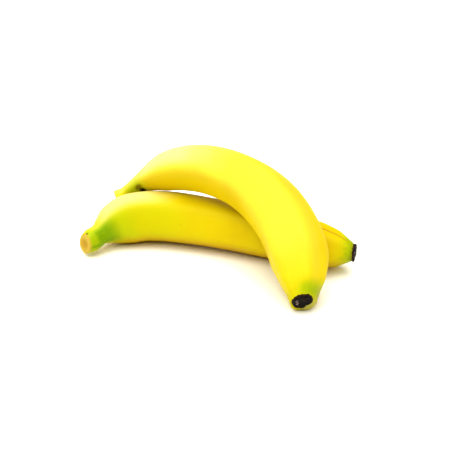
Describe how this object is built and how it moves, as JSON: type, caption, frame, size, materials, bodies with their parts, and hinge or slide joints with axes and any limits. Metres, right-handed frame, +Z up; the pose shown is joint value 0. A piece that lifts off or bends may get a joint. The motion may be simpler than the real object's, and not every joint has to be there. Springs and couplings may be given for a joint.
{
  "type": "bunch of bananas",
  "caption": "Ripe yellow bananas lying across each other, with ridged peel, green necks, cut stems and dried blossom tips.",
  "frame": {"origin": "the middle of the ground under the pair: the centre of the bounding box's base", "axes": "+X runs along the lower banana from its cut stem to its tip, -Y is the side that the upper banana's tip points to, +Z is up"},
  "size_m": [0.1845, 0.1316, 0.0727],
  "materials": {
    "peel": "satin, waxy yellow peel that turns green at the neck and at the nose",
    "cut_stem": "dry fibrous cut, ochre to tan",
    "dried_tip": "dried blossom crust, nearly black, wrinkled with small glints"
  },
  "bodies": {
    "root": {"banana_lower": "peel", "banana_upper": "peel"}
  },
  "joints": []
}
